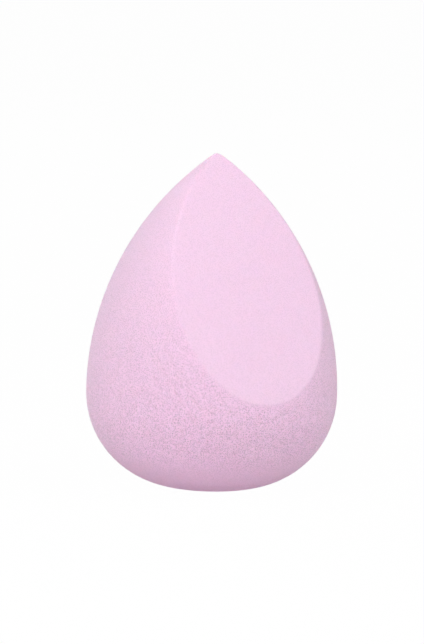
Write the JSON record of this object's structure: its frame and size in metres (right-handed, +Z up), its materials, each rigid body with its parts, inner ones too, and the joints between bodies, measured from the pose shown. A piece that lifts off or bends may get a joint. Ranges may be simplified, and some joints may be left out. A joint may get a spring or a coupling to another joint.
{
  "type": "makeup sponge",
  "caption": "Teardrop foam makeup sponge with a flat foot, round belly, pointed tip and a slanted flat face for dabbing and blending.",
  "frame": {"origin": "middle of the flat foot that the sponge stands on", "axes": "+Z up along the teardrop's axis towards the tip, the bevel faces -Y, +X to the right as one looks at the bevel"},
  "size_m": [0.043, 0.043, 0.057],
  "materials": {
    "pink_foam": "matt, fine open cells, pale pink all through"
  },
  "bodies": {
    "root": {"foam_sponge": "pink_foam"}
  },
  "joints": []
}
